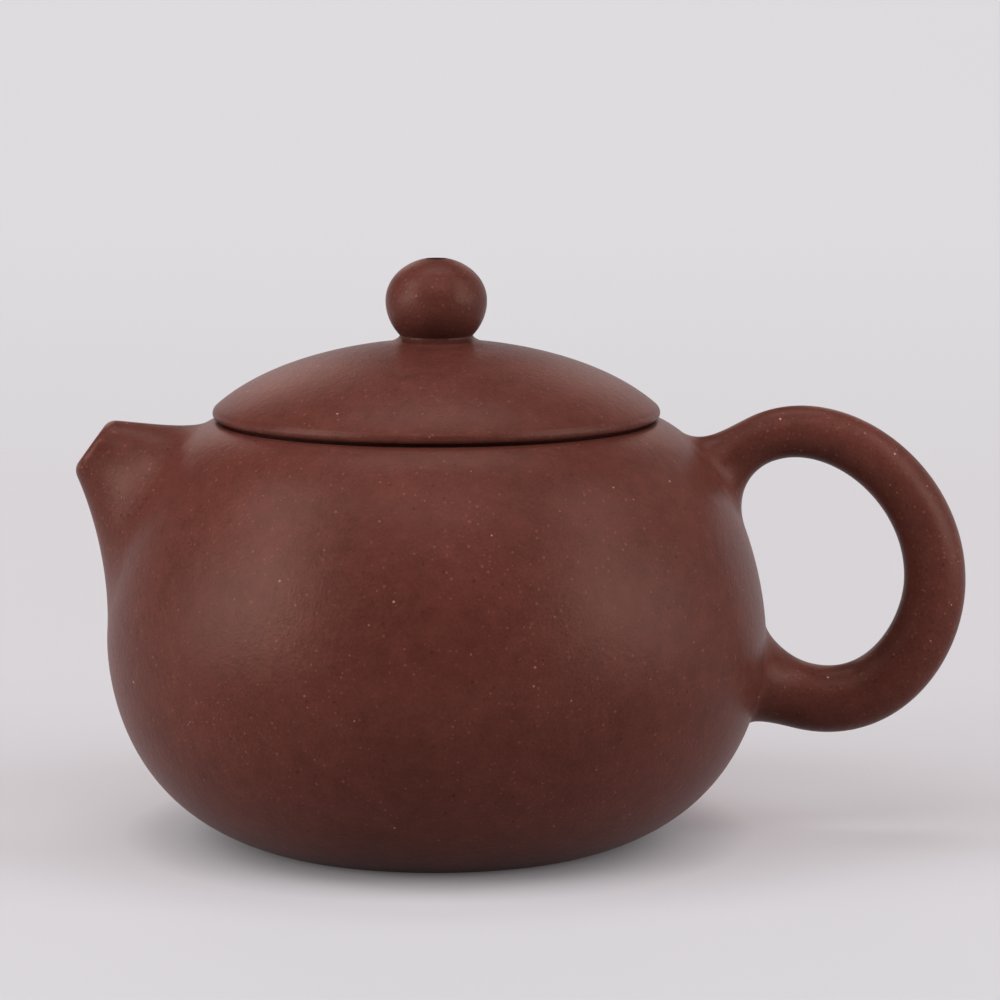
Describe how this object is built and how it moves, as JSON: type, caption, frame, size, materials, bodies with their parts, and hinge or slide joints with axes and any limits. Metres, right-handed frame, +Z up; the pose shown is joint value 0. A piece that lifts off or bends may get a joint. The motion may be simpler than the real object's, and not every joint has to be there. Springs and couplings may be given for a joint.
{
  "type": "clay teapot",
  "caption": "Round unglazed clay teapot with a short spout, an ear handle and a lift-off domed lid with a ball knob; it pours through a perforated ball strainer.",
  "frame": {"origin": "centre of the foot, on the plane the pot rests on", "axes": "+Z up along the pot's axis of revolution, -X towards the spout, +X towards the handle"},
  "size_m": [0.1253, 0.0928, 0.0815],
  "materials": {
    "clay": "unglazed fine sandy clay, satin-matte, dark red-brown with sparse small ochre grains",
    "clay_inside": "unglazed clay, unburnished and matte"
  },
  "bodies": {
    "pot": {"body_wall": "clay", "base_disc": "clay", "mouth_ring": "clay", "spout": "clay", "strainer": "clay_inside", "handle": "clay"},
    "lid": {"lid_dome": "clay", "lid_plate": "clay", "lid_flange": "clay", "knob": "clay"}
  },
  "joints": [
    {"name": "lid_lift", "type": "slide", "parent": "pot", "child": "lid", "axis": [0, 0, 1], "range_m": [0, 0.05]}
  ]
}
